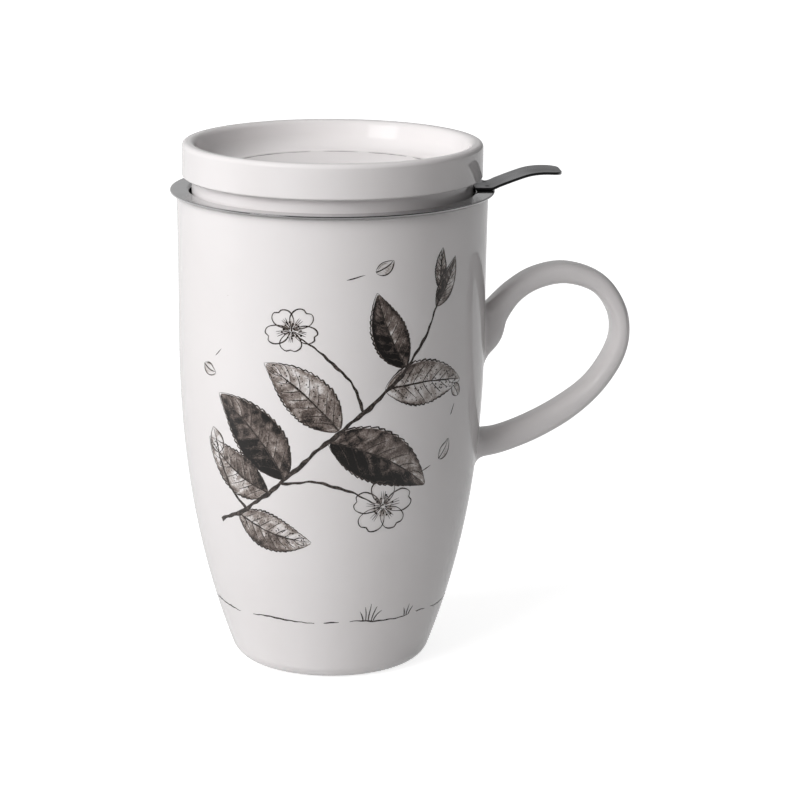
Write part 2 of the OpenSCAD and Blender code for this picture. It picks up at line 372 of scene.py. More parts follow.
def spun_steel(name, colour, roughness):
    """Pressed sheet, finished on the lathe: fine rings about the axis under a soft polish."""
    nodes = Nodes(name, Metallic=1.0, Anisotropic=0.3)
    x, y, z = nodes.parts(nodes.place)
    out = nodes.plus(nodes.axis_distance(x, y), nodes.times(z, 0.83))
    rings = nodes.add("TexNoise", {"noise_dimensions": "1D"}, W=out, Scale=9.0 / MM, Detail=3.0)
    rings = rings.outputs["Fac"]
    smear = nodes.noise(0.08, detail=4.0)
    nodes.set("Base Color", nodes.blend(smear, colour, tuple(0.82 * c for c in colour)))
    worn = nodes.range(smear, 0.3, 0.75, roughness, roughness + 0.06)
    nodes.set("Roughness", nodes.plus(worn, nodes.times(rings, 0.06)))
    nodes.set("Normal", nodes.bump(rings, 0.004))
    return nodes.material


def brushed_steel(name, colour, roughness, turn):
    """Sheet brushed along a line that is turn degrees from +X, with painted shade on its side edges
    (the faces that look along Y).
    """
    nodes = Nodes(name, Metallic=1.0, Anisotropic=0.4)
    along = nodes.add("Mapping", {"vector_type": "TEXTURE"}, Vector=nodes.place)
    along.inputs["Rotation"].default_value = (0, 0, radians(turn))
    along.inputs["Scale"].default_value = (14.0, 1.0, 1.0)
    strokes = nodes.noise(5.0, detail=3.0, vector=along.outputs[0])
    smear = nodes.noise(0.15, detail=4.0)
    facing = nodes.parts(nodes.add("TexCoord").outputs["Normal"])[1]
    # Painted shade: faces that look along Y, the strip's side edges, are darkened by their facing
    # alone.
    painted_edge_shade = nodes.times(nodes.range(nodes.math("ABSOLUTE", facing), 0.55, 0.85), 0.8)
    face = nodes.blend(smear, colour, tuple(0.78 * c for c in colour))
    nodes.set("Base Color", nodes.blend(painted_edge_shade, face, tuple(0.15 * c for c in colour)))
    worn = nodes.range(smear, 0.3, 0.75, roughness, roughness + 0.1)
    nodes.set("Roughness", nodes.plus(worn, nodes.times(strokes, 0.14)))
    nodes.set("Normal", nodes.bump(strokes, 0.006))
    return nodes.material


mug_glaze = glaze("mug_glaze", 0.55)
lid_glaze = glaze("lid_glaze", lid_low.z + 0.35)
line_ink = ink_line("line_ink")
wash_ink = ink_wash("wash_ink")
rim_steel = spun_steel("rim_steel", (0.61, 0.605, 0.61), 0.04)
mesh_steel = spun_steel("mesh_steel", (0.58, 0.58, 0.59), 0.26)
strap_steel = brushed_steel("strap_steel", (0.31, 0.31, 0.32), 0.2, -3.0)
weld_steel = brushed_steel("weld_steel", (0.10, 0.095, 0.095), 0.4, 40.0)


# ---- mug body

def wall_line(radius, low, high):
    count = max(2, round((high - low) / WALL_STEP))
    return [(radius(z), z) for z in evenly(count, low, high)]


def mug_profile():
    """The mug's section, from the middle of its underside to the middle of its floor."""
    foot_edge = 0.35
    recess_r = foot_r - FOOT_W
    bowl_z = FOOT_RECESS + FLOOR_T
    bowl_top = bowl_z + INNER_ROUND
    bowl_r = inner_r(bowl_top) - INNER_ROUND
    lip_z = mug_h - LIP_ROUND
    return [
        *[(r, FOOT_RECESS) for r in (0, recess_r * 0.5, recess_r - FOOT_RECESS - 0.6)],
        (recess_r - FOOT_RECESS + 0.3, FOOT_RECESS - 0.25), (recess_r - 0.3, 0.3),
        *arc(recess_r + foot_edge, foot_edge, foot_edge, 200, 270, 3),
        (foot_r - 0.8, 0),
        *arc(foot_r, BASE_ROUND, BASE_ROUND, -90, -degrees(lean), 14),
        *wall_line(outer_r, corner_z, lip_z)[1:],
        *arc(lip_r - LIP_ROUND, lip_z, LIP_ROUND, 0, 90, 6)[1:],
        *arc(mouth_r + LIP_ROUND, lip_z, LIP_ROUND, 90, 180, 6),
        *wall_line(inner_r, lip_z, bowl_top)[1:-1],
        *arc(bowl_r, bowl_top, INNER_ROUND, 0, -90, 16),
        (bowl_r * 0.5, bowl_z), (0, bowl_z),
    ]


body = revolve("glazed_body", mug_profile(), "mug", mug_glaze)
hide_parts("mug_body")


# ---- handle

HANDLE_REACH = 43.68
HANDLE_LOW = 61.3
HANDLE_RISE = 50.0
GRIP_W = 11.6
GRIP_T = 5.5
SECTION_POWER = 0.72
SECTION_SIDES = 44
CROTCH_ROUND = 1.9
UNDER_ROUND = 3.4
FILLET_STEPS = 8
SHAFT_RINGS = 110
END_SUNK = 0.8
# The loop's line, thickness and width, as shares of its reach and rise and of the grip's sizes
SPINE = [
    (-0.118, 0.534, 1.54, 1.30),
    (0.003, 0.663, 1.89, 1.22),
    (0.086, 0.783, 1.33, 1.08),
    (0.203, 0.898, 1.05, 1.03),
    (0.355, 0.975, 1.07, 1.00),
    (0.550, 1.000, 1.09, 1.00),
    (0.759, 0.936, 1.06, 1.00),
    (0.883, 0.796, 0.98, 1.00),
    (0.915, 0.644, 0.94, 1.00),
    (0.867, 0.495, 1.02, 1.00),
    (0.739, 0.333, 1.06, 1.00),
    (0.560, 0.204, 1.22, 1.00),
    (0.349, 0.101, 1.29, 1.00),
    (0.141, 0.031, 1.30, 1.05),
    (0.003, 0.009, 1.35, 1.20),
    (-0.125, 0.003, 1.40, 1.30),
]


def spline(rows, s):
    """Catmull-Rom through rows of numbers, at row number s."""
    last = len(rows) - 1
    i = min(int(s), last - 1)
    t = s - i
    a, b, c, d = (rows[min(max(k, 0), last)] for k in (i - 1, i, i + 1, i + 2))
    return [0.5 * (2 * q + (r - p) * t + (2 * p - 5 * q + 4 * r - u) * t * t
                   + (3 * q - p - 3 * r + u) * t ** 3)
            for p, q, r, u in zip(a, b, c, d)]


def spine_at(s):
    """Radius and height of the loop's line, and half its thickness and width."""
    out, up, thick, wide = spline(SPINE, s)
    x, z = mug_r + HANDLE_REACH * out, HANDLE_LOW + HANDLE_RISE * up
    return x, z, GRIP_T / 2 * thick, GRIP_W / 2 * wide


def swell(value):
    return copysign(abs(value) ** SECTION_POWER, value)


def handle_point(s, k):
    """Point k of the section at spine row s."""
    x, z, thick, wide = spine_at(s)
    ahead, behind = spine_at(min(s + 0.01, len(SPINE) - 1)), spine_at(max(s - 0.01, 0))
    run = Vector((ahead[0] - behind[0], ahead[1] - behind[1])).normalized()
    a = tau * k / SECTION_SIDES
    off = thick * swell(cos(a))
    return Vector((x - run.y * off, wide * swell(sin(a)), z + run.x * off))


def wall_crossing(k, inside, outside):
    """Spine row at which line k of the handle comes out of the wall."""
    for _ in range(40):
        middle = (inside + outside) / 2
        p = handle_point(middle, k)
        if hypot(p.x, p.y) < outer_r(p.z):
            inside = middle
        else:
            outside = middle
    return (inside + outside) / 2


def joint(inside, outside):
    """One end of the handle: its lines of points from the wall out, and where its shaft begins."""
    crossings = [wall_crossing(k, inside, outside) for k in range(SECTION_SIDES)]
    prints = [handle_point(s, k) for k, s in enumerate(crossings)]
    flat = [Vector((atan2(p.y, p.x) * mug_r, p.z)) for p in prints]
    middle = sum(flat, Vector((0, 0))) / len(flat)
    rows, starts = [], []
    for k, here in enumerate(flat):
        run = flat[(k + 1) % SECTION_SIDES] - flat[k - 1]
        out = Vector((run.y, -run.x)).normalized()
        if out.dot(here - middle) < 0:
            out = -out
        size = mix(UNDER_ROUND, CROTCH_ROUND, (1 + out.y) / 2)
        foot = here + out * size
        toe_r = outer_r(foot.y) - 0.02
        toe_a = foot.x / mug_r
        toe = Vector(on_axis(toe_a, toe_r, foot.y))
        step = 0.02 if outside > inside else -0.02
        speed = (handle_point(crossings[k] + step, k) - prints[k]).length / abs(step)
        start = crossings[k] + copysign(size / speed, step)
        shaft = handle_point(start, k)
        line = [Vector((toe.x - END_SUNK * cos(toe_a), toe.y - END_SUNK * sin(toe_a), toe.z))]
        for t in evenly(FILLET_STEPS)[:-1]:
            line.append(toe * (1 - t) ** 2 + prints[k] * 2 * t * (1 - t) + shaft * t * t)
        rows.append(line)
        starts.append(start)
    return rows, starts


def handle_mesh():
    top = len(SPINE) - 1
    upper, upper_starts = joint(0.01, 3.0)
    lower, lower_starts = joint(top - 0.01, top - 3.0)
    lines = []
    for k in range(SECTION_SIDES):
        shaft = [handle_point(s, k) for s in evenly(SHAFT_RINGS, upper_starts[k], lower_starts[k])]
        lines.append(upper[k] + shaft + lower[k][::-1])
    rings = len(lines[0])
    points = [lines[k][i] for i in range(rings) for k in range(SECTION_SIDES)]
    index = [range(i * SECTION_SIDES, (i + 1) * SECTION_SIDES) for i in range(rings)]
    faces = bands(index)
    for ring in (index[0], index[-1]):
        points.append(sum((points[i] for i in ring), Vector()) / SECTION_SIDES)
        faces += band(ring, [len(points) - 1])
    return points, faces


handle = piece("glazed_handle", *handle_mesh(), "mug", mug_glaze)
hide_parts("mug_handle")


# ---- lid

RING_LIFT = 3.7
CREST_W = 4.0
CREST_EDGE = 1.4
COLLAR_T = 3.0
COLLAR_GAP = 0.6
DISH_DEPTH = 8.0
DISH_T = 3.4
DISH_ROUND = 6.0
DISH_LEAN = 20.0
RING_ROUND = 0.6
SHEET_T = 0.6
SEAT_W = 3.6
NECK_GAP = 0.4
CUT_EASE = 0.06
flange_r = rim_high.x
flange_z = rim_high.z
lid_z = lid_high.z
ring_r = lid_high.x
ring_z = flange_z + RING_LIFT
seat_z = lid_low.z
neck_r = mouth_r - NECK_GAP
neck_in_r = neck_r - SHEET_T
skirt_r = neck_in_r - SEAT_W
collar_r = neck_in_r - COLLAR_GAP
dish_z = lid_z - DISH_DEPTH


def dish_hollow():
    """Centre of the hollow that joins the dish's leaning wall to its floor."""
    turn = radians(DISH_LEAN)
    inward = Vector((-cos(turn), sin(turn)))
    down = Vector((-sin(turn), -cos(turn)))
    crest = Vector((ring_r - CREST_W / 2, lid_z - CREST_W / 2))
    top = crest + inward * CREST_W / 2
    length = (top.y + DISH_ROUND * inward.y - dish_z - DISH_ROUND) / cos(turn)
    return crest, top + DISH_ROUND * inward + length * down


def lid_profile():
    """The lid's section, from the middle of its underside to the middle of its dish."""
    edge = 0.6
    root = 0.8
    under_z = dish_z - DISH_T
    collar_in_r = collar_r - COLLAR_T
    ring_low, ring_high = ring_z + RING_ROUND, lid_z - CREST_EDGE
    crest, hollow = dish_hollow()
    return [
        (0, under_z), (collar_in_r * 0.5, under_z),
        *arc(collar_in_r - 1.6, under_z - 1.6, 1.6, 90, 0, 6),
        (collar_in_r, seat_z + 1.4),
        *arc(collar_in_r + edge, seat_z + edge, edge, 180, 270, 5),
        *arc(collar_r - edge, seat_z + edge, edge, 270, 360, 5),
        (collar_r, seat_z + 1.4), (collar_r, ring_z - root - 0.8),
        *arc(collar_r + root, ring_z - root, root, 180, 90, 5),
        *arc(ring_r - RING_ROUND, ring_low, RING_ROUND, -90, 0, 12),
        *[(ring_r, mix(ring_low, ring_high, t)) for t in (0.15, 0.5, 0.85)],
        *arc(ring_r - CREST_EDGE, ring_high, CREST_EDGE, 0, 90, 10),
        *arc(crest.x, crest.y, CREST_W / 2, 90, 180 - DISH_LEAN, 10),
        *arc(hollow.x, hollow.y, DISH_ROUND, -DISH_LEAN, -90, 16),
        *[(r, dish_z) for r in (hollow.x - 1.2, hollow.x * 0.6, hollow.x * 0.25, 0)],
    ]


lid = revolve("glazed_lid", lid_profile(), "lid", lid_glaze)
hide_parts("lid")


# ---- infuser rim

def rim_profile():
    """Closed section of the pressed rim: flange, neck, seat and skirt, with their bends."""
    inside, outside = 0.35, 0.35 + SHEET_T
    hem = SHEET_T / 2
    skirt_in_r = skirt_r - SHEET_T
    low = rim_low.z
    return [
        *arc(flange_r - hem, flange_z - hem, hem, -90, 90, 8),
        (flange_r - 1.0, flange_z), (neck_in_r + outside + 0.5, flange_z),
        *arc(neck_in_r + outside, flange_z - outside, outside, 90, 180, 7),
        *arc(neck_in_r - inside, seat_z + inside, inside, 0, -90, 5),
        (neck_in_r - 1.0, seat_z), (skirt_in_r + outside + 0.4, seat_z),
        *arc(skirt_in_r + outside, seat_z - outside, outside, 90, 180, 7),
        (skirt_in_r, low + 0.4), (skirt_in_r, low + CUT_EASE), (skirt_in_r + CUT_EASE, low),
        (skirt_r - CUT_EASE, low), (skirt_r, low + CUT_EASE), (skirt_r, low + 0.4),
        *arc(skirt_r + inside, seat_z - SHEET_T - inside, inside, 180, 90, 5),
        *arc(neck_r - outside, seat_z - SHEET_T + outside, outside, -90, 0, 7),
        *arc(neck_r + inside, flange_z - SHEET_T - inside, inside, 180, 90, 5),
        (neck_r + inside + 0.5, flange_z - SHEET_T), (flange_r - 1.0, flange_z - SHEET_T),
    ]


rim = revolve("pressed_rim", rim_profile(), "infuser", rim_steel, closed=True)
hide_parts("infuser_rim")


# ---- infuser basket

HOLE_R = 0.64
COLUMNS = 96
ROWS = 28
PLAIN_EDGE = 2.4
BASE_LIP = 4.0
MESH_T = 0.5


def wall_mesh():
    """A tube of sheet with staggered holes, which leaves a plain strip at the back for its seam."""
    low, high = mesh_low.z, mesh_high.z
    first, last = low + BASE_LIP + PLAIN_EDGE, rim_low.z - PLAIN_EDGE
    radii = (mesh_high.x, mesh_high.x - MESH_T)
    step_z, half_step = (last - first) / ROWS, pi / COLUMNS
    turn = 2 * COLUMNS
    seam = COLUMNS // 4
    points, faces = [], []

    def add(angle, z):
        points.extend(on_axis(angle, r, z) for r in radii)
        return len(points) - 2

    def both_sides(loop):
        faces.append(tuple(loop))
        faces.append(tuple(i + 1 for i in reversed(loop)))

    levels = [low] + [first + step_z * row for row in range(ROWS + 1)] + [high]
    lines = [[add(half_step * k, z) for k in range(turn)] for z in levels]
    for face in band(*lines[:2]) + band(*lines[-2:]):
        both_sides(face)
    for line in (lines[0], lines[-1]):
        faces += band(line, [i + 1 for i in line])
    for row in range(ROWS):
        lower, upper = lines[row + 1], lines[row + 2]
        shift = row % 2
        middle_z = first + step_z * (row + 0.5)
        sides = [add(half_step * (2 * c + shift), middle_z) for c in range(COLUMNS)]
        for c in range(COLUMNS):
            k = [(2 * c + shift + i) % turn for i in range(3)]
            edge = [sides[(c + 1) % COLUMNS], upper[k[2]], upper[k[1]], upper[k[0]],
                    sides[c], lower[k[0]], lower[k[1]], lower[k[2]]]
            if abs(c - seam) < 2:
                both_sides(edge)
                continue
            middle = half_step * (2 * c + shift + 1)
            hole = [add(middle + HOLE_R * cos(a) / radii[0], middle_z + HOLE_R * sin(a))
                    for a in evenly(8, 0.0, tau)[:-1]]
            for face, side in zip(band(edge, hole), band(hole, [i + 1 for i in hole])):
                both_sides(face)
                faces.append(side)
    return points, faces


wall = piece("perforated_wall", *wall_mesh(), "infuser", mesh_steel, weighted=True)
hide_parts("infuser_wall")


def seam_mesh():
    """The lap of the wall's seam, a strip of sheet with eased edges over the plain strip."""
    low, high = mesh_low.z + BASE_LIP + 0.6, rim_low.z - 0.4
    section = [(-2.0, -0.1), (-2.0, 0.05), (-1.8, 0.13), (1.8, 0.13), (2.0, 0.05), (2.0, -0.1)]
    points = []
    for z in (low, high):
        for around, lift in section:
            points.append(on_axis(pi / 2 + around / mesh_high.x, mesh_high.x + lift, z))
    n = len(section)
    ends = [range(n), range(n, 2 * n)]
    return points, bands(ends) + [tuple(end) for end in ends]


seam = piece("wall_seam", *seam_mesh(), "infuser", mesh_steel, weighted=True)


# A spot weld's section from its buried foot to its middle, as shares of its radius and rise
WELD_FOOT = 0.15
WELD_LINE = [(1.0, -WELD_FOOT), (1.0, 0.0), (0.86, 0.75), (0.45, 1.0), (0.3, 0.35), (0.0, 0.2)]
SKIRT_WELDS = 24
UP = Vector((0, 0, 1))


def weld_spots(name, places, radius, rise, material):
    """Pads left by spot welds; a place is a middle, an outward and an upward direction."""
    sides = 14
    points, faces = [], []
    for middle, out, up in places:
        across = out.cross(up)
        rings = []
        for share, height in WELD_LINE:
            count = sides if share else 1
            rings.append(next_ring(points, count))
            for i in range(count):
                a = tau * i / sides
                spoke = across * cos(a) + up * sin(a)
                points.append(middle + spoke * radius * share + out * rise * height)
        points.append(middle - out * rise * WELD_FOOT)
        faces += band(rings[0], [len(points) - 1]) + bands(rings)
    return piece(name, points, faces, "infuser", material)


def skirt_welds():
    """Where the wall is spot-welded to the skirt, all the way round."""
    z = mix(rim_low.z, seat_z - SHEET_T, 0.45)
    places = []
    for i in range(SKIRT_WELDS):
        out = Vector(on_axis(radians(360 / SKIRT_WELDS * i + 4), 1, 0))
        places.append((out * skirt_r + UP * z, out, UP))
    return places


pads = weld_spots("skirt_welds", skirt_welds(), 0.75, 0.07, rim_steel)


def base_holes(limit, pitch):
    """Middles of holes in rows staggered by half a pitch, out to a radius."""
    rows = int(limit / (pitch * sin(pi / 3))) + 1
    holes = []
    for row in range(-rows, rows + 1):
        for i in range(-rows - 2, rows + 3):
            x, y = pitch * (i + (row % 2) / 2), pitch * row * sin(pi / 3)
            if hypot(x, y) <= limit:
                holes.append((x, y))
    return holes


def disc_mesh(radius, low, thickness, holes):
    """A flat plate with round holes, as points in millimetres and faces."""
    curve = bpy.data.curves.new("disc_outline", "CURVE")
    curve.dimensions = "2D"
    curve.fill_mode = "BOTH"
    curve.extrude = thickness / 2
    for x, y, r, count in [(0, 0, radius, 180)] + [(x, y, HOLE_R, 10) for x, y in holes]:
        loop = curve.splines.new("POLY")
        loop.points.add(count - 1)
        for i, point in enumerate(loop.points):
            a = tau * i / count
            point.co = (x + r * cos(a), y + r * sin(a), 0, 1)
        loop.use_cyclic_u = True
    holder = new_object("disc_outline", curve)
    filled = holder.evaluated_get(bpy.context.evaluated_depsgraph_get())
    mesh = bpy.data.meshes.new_from_object(filled)
    bm = bmesh.new()
    bm.from_mesh(mesh)
    bmesh.ops.remove_doubles(bm, verts=bm.verts, dist=1e-4)
    bm.verts.index_update()
    middle = low + thickness / 2
    points = [(v.co.x, v.co.y, v.co.z + middle) for v in bm.verts]
    faces = [tuple(v.index for v in face.verts) for face in bm.faces]
    bm.free()
    bpy.data.objects.remove(holder)
    bpy.data.curves.remove(curve)
    bpy.data.meshes.remove(mesh)
    return points, faces


base_r = base_high.x
base_z = base_low.z
PLATE_R = 31.2
PLATE_MARGIN = 1.6
PLATE_INSET = 0.03
HOLE_PITCH = 2.3
holes = base_holes(PLATE_R - PLATE_MARGIN, HOLE_PITCH)
disc = disc_mesh(PLATE_R, base_z + PLATE_INSET, MESH_T - 2 * PLATE_INSET, holes)
plate = piece("perforated_base", *disc, "infuser", mesh_steel)
plate.data.polygons.foreach_set("use_smooth", [False] * len(plate.data.polygons))
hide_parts("infuser_base")


def cup_profile():
    """Closed section of the base's edge: a stamped bead, a small bend and the upturned lip."""
    bead_r, bead_rise = mix(PLATE_R, base_r, 0.45), 0.55
    top, inside, outside = base_z + BASE_LIP, 0.3, 0.3 + MESH_T
    bead = [(-1.0, 0), (-0.45, bead_rise * 0.6), (0, bead_rise), (0.45, bead_rise * 0.6), (1.0, 0)]
    under = [(PLATE_R - 0.4, base_z)] + [(bead_r + out, base_z + rise) for out, rise in bead]
    return [
        *under,
        *arc(base_r - outside, base_z + outside, outside, -90, 0, 6),
        (base_r, top - CUT_EASE), (base_r - CUT_EASE, top),
        (base_r - MESH_T + CUT_EASE, top), (base_r - MESH_T, top - CUT_EASE),
        *arc(base_r - MESH_T - inside, base_z + MESH_T + inside, inside, 0, -90, 4),
        *[(r, z + MESH_T) for r, z in reversed(under)],
    ]


cup = revolve("base_cup", cup_profile(), "infuser", mesh_steel, closed=True)


# ---- infuser strap

STRAP_W = 13.0
STRAP_T = 0.8
STRAP_RISE = 4.3
STRAP_CORNER = 3.0
STRAP_REACH = 64.5
STRAP_TURN = radians(-3)
# The strap's underside as shares of its length and rise
STRAP_LINE = [(0, 0), (0.183, 0), (0.304, 0.26), (0.459, 0.59), (0.613, 0.88), (0.739, 0.99),
              (0.865, 1.00), (1, 0.95)]
STRAP_ROOT = sqrt(neck_in_r ** 2 - STRAP_W ** 2 / 4)
STRAP_WELD_R = 43.5
STRAP_WELD_SIDES = (-3.3, 3.8)


def strap_line(s):
    """Radius and height of the underside at row s, flat where it lies on the flange."""
    share, rise = spline(STRAP_LINE, s)
    z = flange_z - 0.02 + STRAP_RISE * (rise if s > 1 else 0)
    return mix(STRAP_ROOT, STRAP_REACH, share), z


def strap_section(s, half_w, half_t):
    """A ring round the strap at row s: a strip with eased edges, whose end follows the neck."""
    x, z = strap_line(s)
    ahead, behind = strap_line(min(s + 0.02, len(STRAP_LINE) - 1)), strap_line(max(s - 0.02, 0))
    run = Vector((ahead[0] - behind[0], ahead[1] - behind[1])).normalized()
    ease = min(0.22, half_t * 0.6)
    ring = []
    for cx, cz, start in ((1, 1, 0), (-1, 1, 90), (-1, -1, 180), (1, -1, 270)):
        for y, h in arc(cx * (half_w - ease), cz * (half_t - ease), ease, start, start + 90, 3):
            h += STRAP_T / 2
            hollow = (sqrt(neck_in_r ** 2 - y * y) - STRAP_ROOT) * max(0.0, 1 - s)
            ring.append(Vector((x + hollow - run.y * h, y, z + run.x * h)))
    return [Matrix.Rotation(STRAP_TURN, 3, "Z") @ p for p in ring]


def strap_mesh():
    last = len(STRAP_LINE) - 1
    stations = [(0, 0.55), (0.004, 0.8), (0.02, 0.95), (0.05, 1.0)]
    stations += [(0.1 + 0.06 * i, 1.0) for i in range(109)]
    rounds = [(last - 0.75 * (1 - cos(radians(a))), 1.0) for a in range(75, 0, -9)]
    stations = [row for row in stations if row[0] < rounds[0][0] - 0.03] + rounds
    stations += [(last - 0.004, 0.8), (last, 0.55)]
    rings, points = [], []
    for s, thick in stations:
        left = STRAP_REACH - strap_line(s)[0]
        half_w = STRAP_W / 2
        if left < STRAP_CORNER:
            square = STRAP_CORNER ** 2 - (STRAP_CORNER - left) ** 2
            half_w -= STRAP_CORNER - sqrt(max(0.0, square))
        ring = strap_section(s, half_w - (1 - thick) * 0.4, STRAP_T / 2 * thick)
        rings.append(next_ring(points, len(ring)))
        points += ring
    return points, bands(rings) + [tuple(rings[0]), tuple(rings[-1])]


strap = piece("lifting_strap", *strap_mesh(), "infuser", strap_steel, weighted=True)
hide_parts("infuser_strap")


def strap_welds():
    """The two spots that hold the strap, a little behind its bend."""
    turned = Matrix.Rotation(STRAP_TURN, 3, "Z")
    top = flange_z + STRAP_T - 0.02
    along = turned @ Vector((1, 0, 0))
    return [(turned @ Vector((STRAP_WELD_R, y, top)), UP, along) for y in STRAP_WELD_SIDES]


dimples = weld_spots("strap_welds", strap_welds(), 0.7, 0.05, weld_steel)


# ---- painted decoration

def on_wall(around, high, lift):
    """Place and outward direction on the mug, at a distance round from its front and a height."""
    a = around / mug_r - TURN
    slope = (outer_r(high + 0.1) - outer_r(high - 0.1)) / 0.2
    out = Vector((sin(a), -cos(a), -slope)).normalized()
    r = outer_r(high)
    return Vector((r * sin(a), -r * cos(a), high)) + out * lift, out


def on_dish(around, r, lift):
    """Place and outward direction on the dish's floor, at degrees from the front and a radius."""
    a = radians(around) - TURN
    return Vector((r * sin(a), -r * cos(a), dish_z + lift)), UP


class Print:
    """Colour under the glaze: thin closed flakes that lie on a surface, gathered into one piece."""

    SUNK = -0.05
    LAYERS = 8
    LAYER_T = 0.0015

    def __init__(self, surface, lift):
        self.surface, self.lift, self.count = surface, lift, 0
        self.points, self.normals, self.faces, self.ink = [], [], [], []

    def flake(self, rows, inks=None):
        """One flake over rows of chart points, each with its amount of ink."""
        lift = self.lift + self.LAYER_T * (self.count % self.LAYERS)
        self.count += 1
        wide, start, under = len(rows[0]), len(self.points), len(rows) * len(rows[0])
        for level in (lift, self.SUNK):
            for i, row in enumerate(rows):
                for j, (a, b) in enumerate(row):
                    point, normal = self.surface(a, b, level)
                    self.points.append(point)
                    self.normals.append(normal)
                    self.ink.append(inks[i][j] if inks else 1.0)

        def at(i, j):
            return start + i * wide + j

        bottom, side = len(rows) - 1, wide - 1
        for i in range(bottom):
            for j in range(side):
                top = (at(i, j), at(i, j + 1), at(i + 1, j + 1), at(i + 1, j))
                self.faces += [top, tuple(k + under for k in reversed(top))]
        rim = [at(0, j) for j in range(side)] + [at(i, side) for i in range(bottom)]
        rim += [at(bottom, j) for j in range(side, 0, -1)]
        rim += [at(i, 0) for i in range(bottom, 0, -1)]
        for a, b in zip(rim, rim[1:] + rim[:1]):
            self.faces.append((a, a + under, b + under, b))

    def stroke(self, path, width, start=0.25, end=0.15, shake=0.1):
        """A pen stroke along a path, thinner at both ends and never quite even."""
        path = [Vector(p) for p in path]
        pressure, drift = wander(), wander()
        rows, gone = [], 0.0
        last = len(path) - 1
        for i, p in enumerate(path):
            gone += (p - path[max(i - 1, 0)]).length
            t = i / last
            run = (path[min(i + 1, last)] - path[max(i - 1, 0)]).normalized()
            side = Vector((-run.y, run.x))
            full = min(1.0, mix(start, 1.0, min(1.0, t * 5)), mix(end, 1.0, min(1.0, (1 - t) * 3)))
            half = width / 2 * full * (1 + 0.35 * pressure(gone))
            middle = p + side * shake * drift(gone)
            rows.append([middle - side * half, middle + side * half])
        self.flake(rows)

    def dot(self, x, y, r):
        rows = []
        for a in evenly(4, 0.0, pi):
            half, height = max(r * 0.2, r * sin(a)), y + r * cos(a)
            rows.append([(x - half, height), (x + half, height)])
        self.flake(rows)

    def done(self, name, body, material):
        obj = piece(name, self.points, self.faces, body, material)
        obj.data.attributes.new("ink", "FLOAT", "POINT").data.foreach_set("value", self.ink)
        obj.data.normals_split_custom_set_from_vertices(self.normals)
        return obj


PATH_STEP = 0.7


def wander():
    """A smooth wandering function of length, as a hand wanders."""
    waves = [(uniform(low, high), uniform(0, 6.3), size)
             for low, high, size in ((0.35, 0.6, 0.6), (1.2, 1.9, 0.4))]
    return lambda s: sum(size * sin(rate * s + start) for rate, start, size in waves)


def curve_through(points):
    """A smooth path through points, with stations about a PATH_STEP apart."""
    path = []
    for s in range(len(points) - 1):
        count = max(2, int((Vector(points[s + 1]) - Vector(points[s])).length / PATH_STEP))
        path += [spline(points, s + i / count) for i in range(count)]
    return path + [list(points[-1])]


class Leaf:
    """A leaf in the chart: its midrib leaves base at an angle and curls by bend degrees."""

    def __init__(self, base, angle, length, width, bend):
        self.base, self.length, self.width = Vector(base), length, width
        self.angle, self.curl = radians(angle), radians(bend)

    def at(self, t, across):
        """Point at share t of the midrib and a share of the half width to its left."""
        a = self.angle + self.curl * t
        x = (sin(a) - sin(self.angle)) / self.curl
        y = (cos(self.angle) - cos(a)) / self.curl
        half = self.width / 2 * sin(pi * min(1.0, max(0.0, t)) ** 0.8) ** 0.85
        side = Vector((-sin(a), cos(a)))
        return self.base + self.length * Vector((x, y)) + side * half * across

    def outline(self, lines, teeth=17, width=0.42):
        for side in (1, -1):
            path = []
            for t in evenly(80):
                saw = (t * teeth) % 1.0
                path.append(self.at(t, side * (1.0 + 0.09 * saw * min(1, t * 4))))
            lines.stroke(path, width, shake=0.07)
        lines.stroke([self.at(t * 0.97, 0.0) for t in evenly(30)], width * 1.15, start=1.2, end=0.2)

    def veins(self, lines):
        for t in evenly(6, 0.08, 0.78):
            for side in (1, -1):
                reach = uniform(0.72, 0.93)
                path = [self.at(t + 0.13 * s + 0.03 * s * s, side * reach * s) for s in evenly(9)]
                lines.stroke(path, 0.22, start=0.9, end=0.3, shake=0.06)

    def wash(self, washes, left, right):
        """Washes of both halves, darker at the base, pooled at the margin, lifted at the veins."""
        slip = Vector((0.25, -0.2))
        shares = (0.0, 0.07, 0.2, 0.35, 0.5, 0.65, 0.8, 0.9, 0.97, 1.02)
        stations = evenly(57, 0.015, 0.985)
        for side, tone in ((1, left), (-1, right)):
            breath = wander()

            def ink(t, share):
                vein = ((t - 0.13 * share) * 8.5) % 1.0
                lifted = 0.22 * exp(-(min(vein, 1 - vein) / 0.13) ** 2) * (1 - share * 0.5)
                pooled = 0.20 * smooth((share - 0.7) / 0.25)
                amount = tone * (1.12 - 0.40 * t) + pooled - lifted * min(1.0, tone * 2)
                amount += 0.10 * breath(t * 9 + share * 3)
                return max(0.0, amount) * (0.35 if share > 1 else 1.0)

            rows = [[self.at(t, side * share * 1.01) + slip for share in shares] for t in stations]
            washes.flake(rows, [[ink(t, share) for share in shares] for t in stations])

    def stipple(self, dots, count):
        for _ in range(count):
            t, across = uniform(0.08, 0.92), uniform(-0.86, 0.86)
            p = self.at(t, across)
            dots.dot(p.x, p.y, uniform(0.13, 0.24))


def petal(centre, radius, turn, squash):
    """Outline of one petal round its blossom's centre, with a notch at its tip."""
    outline = []
    for a in evenly(40, 0.12, tau - 0.12):
        notch = 0.10 * radius * exp(-((a - pi) / 0.22) ** 2)
        x = radius * (0.56 - 0.46 * cos(a)) - notch
        y = radius * 0.40 * sin(a) * (1 - 0.22 * cos(a))
        p = Matrix.Rotation(radians(turn), 2) @ Vector((x, y))
        outline.append(Vector(centre) + Vector((p.x, p.y * squash)))
    return outline


